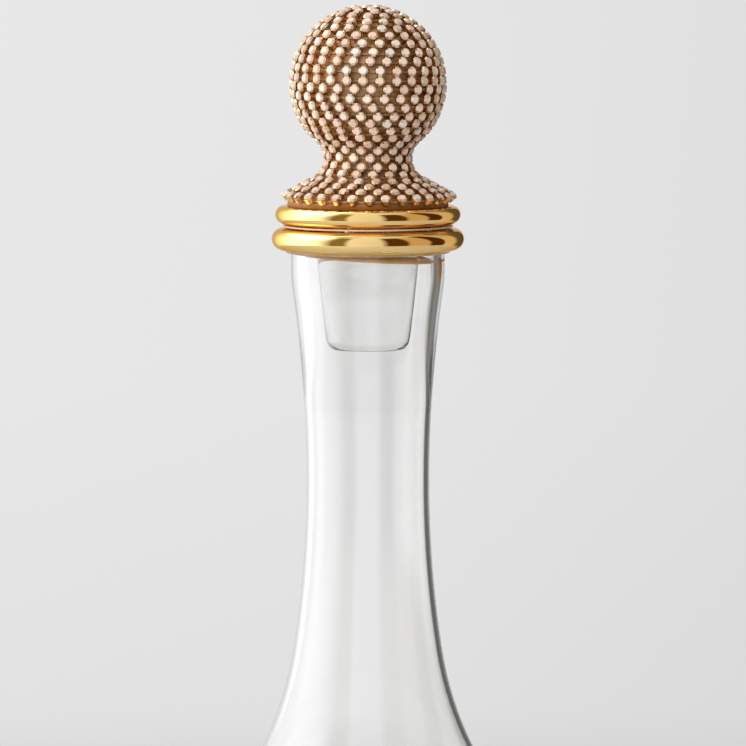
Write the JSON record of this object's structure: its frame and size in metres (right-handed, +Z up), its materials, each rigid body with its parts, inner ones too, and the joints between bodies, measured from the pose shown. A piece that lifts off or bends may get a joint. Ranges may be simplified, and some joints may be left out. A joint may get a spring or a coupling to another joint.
{
  "type": "decanter",
  "caption": "Clear glass decanter with a long flared neck, two gold rings at the mouth and a lift-off ball stopper wound with a chain of crystals.",
  "frame": {"origin": "middle of the underside, on the surface that the decanter stands on", "axes": "+Z up along the axis that every piece is turned round; +X to the right and -Y towards the viewer in the picture"},
  "size_m": [0.138, 0.138, 0.2902],
  "materials": {
    "glass": "clear, polished",
    "gold": "polished gold plate",
    "silicone": "clear, satin",
    "steel": "plain",
    "antique_gold": "cast, lacquered antique gold",
    "crystal": "faceted crystals in gold cups"
  },
  "bodies": {
    "bottle": {"glass_bottle": "glass", "neck_collar": "gold"},
    "seal": {"seal_ring": "silicone"},
    "stopper": {"base_ring": "gold", "glass_plug": "glass", "lock_washer": "steel", "finial_screw": "steel", "finial_core": "antique_gold", "crystal_chain": "crystal"}
  },
  "joints": [
    {"name": "stopper_turn", "type": "hinge", "parent": "bottle", "child": "seal", "pos_m": [0, 0, 0.2336], "axis": [0, 0, 1], "continuous": true},
    {"name": "stopper_lift", "type": "slide", "parent": "seal", "child": "stopper", "axis": [0, 0, 1], "range_m": [0, 0.045]}
  ]
}
